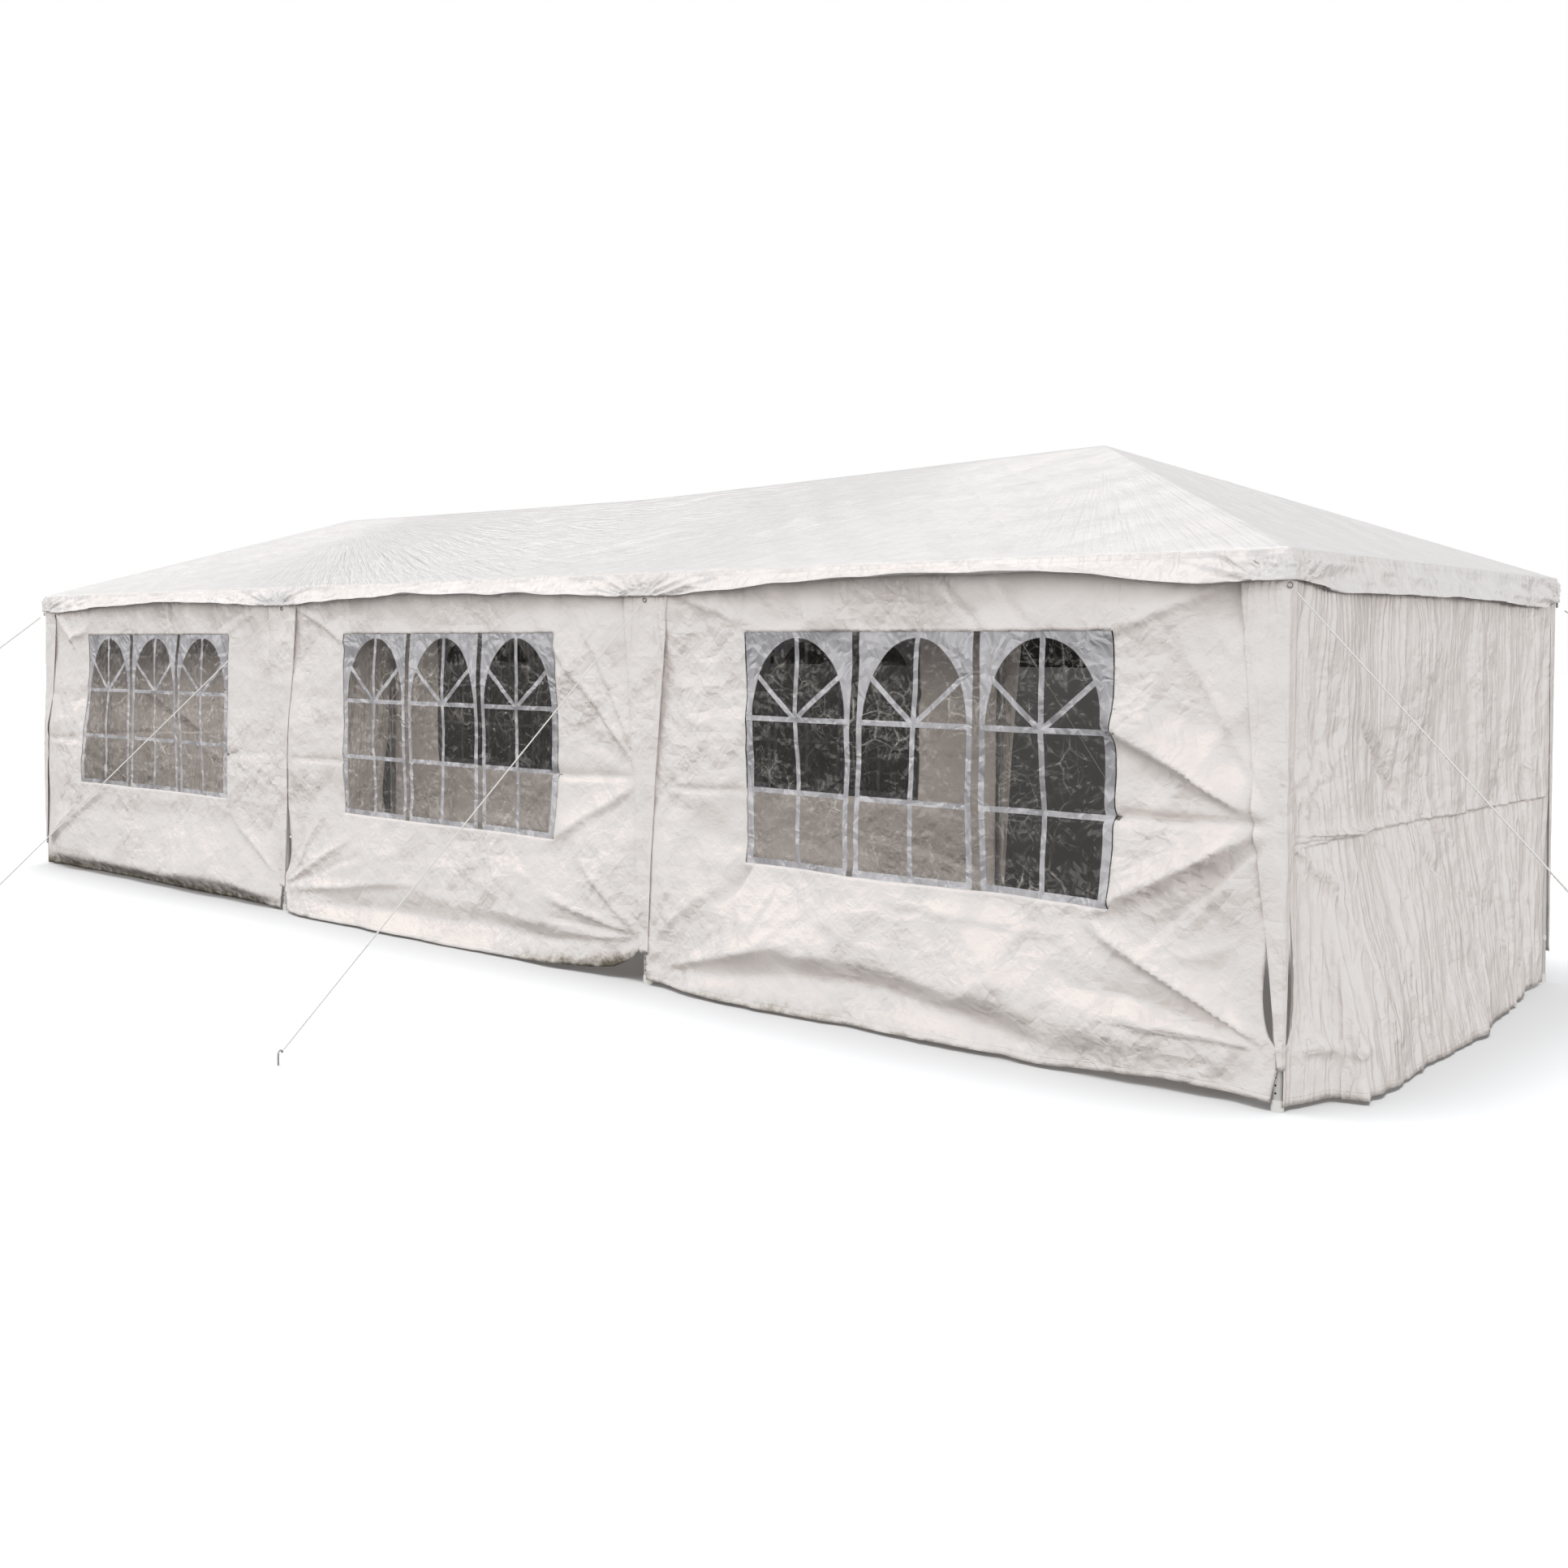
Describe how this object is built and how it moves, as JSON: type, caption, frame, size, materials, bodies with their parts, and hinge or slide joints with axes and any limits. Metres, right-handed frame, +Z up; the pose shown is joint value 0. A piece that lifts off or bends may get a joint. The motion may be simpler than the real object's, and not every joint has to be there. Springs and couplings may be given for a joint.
{
  "type": "marquee tent",
  "caption": "Long white party tent with a hipped roof, windowed side walls, an open back bay, steel tube frame and taut guy ropes to ground pegs.",
  "frame": {"origin": "on the level ground, under the centre of the frame's plan", "axes": "+X along the long side towards the right end, the windowed front wall faces -Y, +Z up"},
  "size_m": [13.345, 7.0478, 2.52],
  "materials": {
    "steel": "white powder coat, slightly worn",
    "cover": "woven plastic cloth, wrinkled and satin",
    "clear_sheet": "clear crinkled sheet with printed bars",
    "rope": "thin braided white cord"
  },
  "bodies": {
    "root": {"leg_front_1": "steel", "leg_front_2": "steel", "leg_front_3": "steel", "leg_front_4": "steel", "leg_back_1": "steel", "leg_back_2": "steel", "leg_back_3": "steel", "leg_back_4": "steel", "eave_rail_front_1": "steel", "eave_rail_front_2": "steel", "eave_rail_front_3": "steel", "eave_rail_back_1": "steel", "eave_rail_back_2": "steel", "eave_rail_back_3": "steel", "eave_rail_left": "steel", "eave_rail_right": "steel", "ridge_pole": "steel", "rafter_front_2": "steel", "rafter_front_3": "steel", "rafter_back_2": "steel", "rafter_back_3": "steel", "hip_rafter_front_left": "steel", "hip_rafter_front_right": "steel", "hip_rafter_back_left": "steel", "hip_rafter_back_right": "steel", "roof_cover": "cover", "leg_cover_front_1": "cover", "leg_cover_front_2": "cover", "leg_cover_front_3": "cover", "leg_cover_front_4": "cover", "leg_cover_back_1": "cover", "leg_cover_back_2": "cover", "leg_cover_back_3": "cover", "leg_cover_back_4": "cover", "wall_front_1": "cover", "wall_front_2": "cover", "wall_front_3": "cover", "wall_back_1": "cover", "wall_back_2": "cover", "wall_left": "cover", "wall_right": "cover", "window_front_1": "clear_sheet", "window_front_2": "clear_sheet", "window_front_3": "clear_sheet", "window_back_1": "clear_sheet", "window_back_2": "clear_sheet", "guy_rope_front_1": "rope", "guy_rope_front_2": "rope", "guy_rope_front_3": "rope", "guy_rope_front_4": "rope", "guy_rope_back_1": "rope", "guy_rope_back_2": "rope", "guy_rope_back_3": "rope", "guy_rope_back_4": "rope"}
  },
  "joints": []
}
